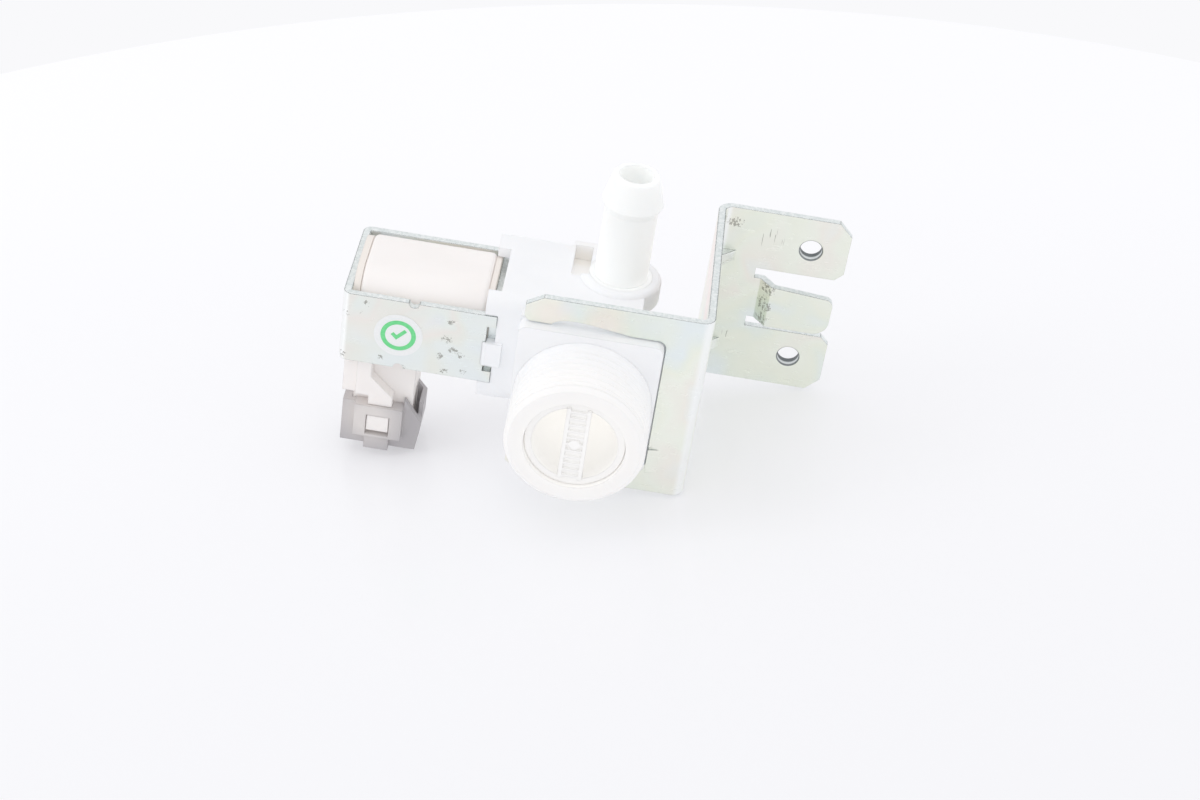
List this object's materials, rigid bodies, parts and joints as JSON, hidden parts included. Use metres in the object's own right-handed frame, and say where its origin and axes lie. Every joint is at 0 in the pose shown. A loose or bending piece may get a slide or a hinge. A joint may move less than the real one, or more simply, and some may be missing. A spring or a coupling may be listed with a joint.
{
  "type": "solenoid water inlet valve",
  "caption": "Solenoid water inlet valve with a threaded inlet collar, a barbed hose nozzle at right angles, a yoke-framed coil with a plug, and a folded mounting bracket.",
  "frame": {"origin": "on the inlet collar's axis, in the front face of the square flange that the collar stands on", "axes": "-Y along the inlet collar towards its mouth, +Z along the hose nozzle, -X along the coil away from the body"},
  "size_m": [0.0964, 0.0624, 0.065],
  "materials": {
    "bracket_steel": "zinc plated sheet with iridescent passivation",
    "yoke_steel": "zinc plated sheet",
    "body_plastic": "moulded, bluish white",
    "strainer_plastic": "moulded",
    "nozzle_plastic": "milky, slightly translucent",
    "coil_plastic": "moulded, warm white",
    "bobbin_plastic": "moulded, cream",
    "plug_plastic": "moulded, mid grey",
    "inner_plastic": "moulded, natural",
    "seal_rubber": "black rubber",
    "plunger_steel": "turned stainless steel",
    "winding_copper": "enamelled copper wire",
    "contact_brass": "tin plated brass",
    "label_paper": "printed paper"
  },
  "bodies": {
    "valve": {"mounting_bracket": "bracket_steel", "valve_body": "body_plastic", "inlet_strainer": "strainer_plastic", "outlet_nozzle": "nozzle_plastic", "yoke_strap": "yoke_steel", "yoke_end_plate": "yoke_steel", "coil_overmould": "coil_plastic", "coil_bobbin": "bobbin_plastic", "plug_housing": "plug_plastic", "label": "label_paper", "flow_regulator_holder": "inner_plastic", "flow_regulator_washer": "seal_rubber", "diaphragm": "seal_rubber", "guide_tube": "inner_plastic", "armature_spring": "plunger_steel", "coil_winding": "winding_copper", "flux_bush_rear": "yoke_steel", "flux_bush_front": "yoke_steel", "terminal_left": "contact_brass", "terminal_right": "contact_brass", "plug_contact_left": "contact_brass", "plug_contact_right": "contact_brass"},
    "plunger": {"armature": "plunger_steel", "armature_tip": "seal_rubber"},
    "pilot_insert": {"diaphragm_insert": "inner_plastic"}
  },
  "joints": [
    {"name": "armature_slide", "type": "slide", "parent": "valve", "child": "plunger", "axis": [-1, 0, 0], "range_m": [0, 0.0025], "stiffness_N_per_m": 120, "springref_m": -0.006, "deforming": ["armature_spring"]},
    {"name": "diaphragm_lift", "type": "slide", "parent": "valve", "child": "pilot_insert", "axis": [-1, 0, 0], "range_m": [0, 0.002], "deforming": ["diaphragm"]}
  ],
  "couplings": [
    {"joint": "diaphragm_lift", "follows": "armature_slide", "ratio": 0.8}
  ]
}
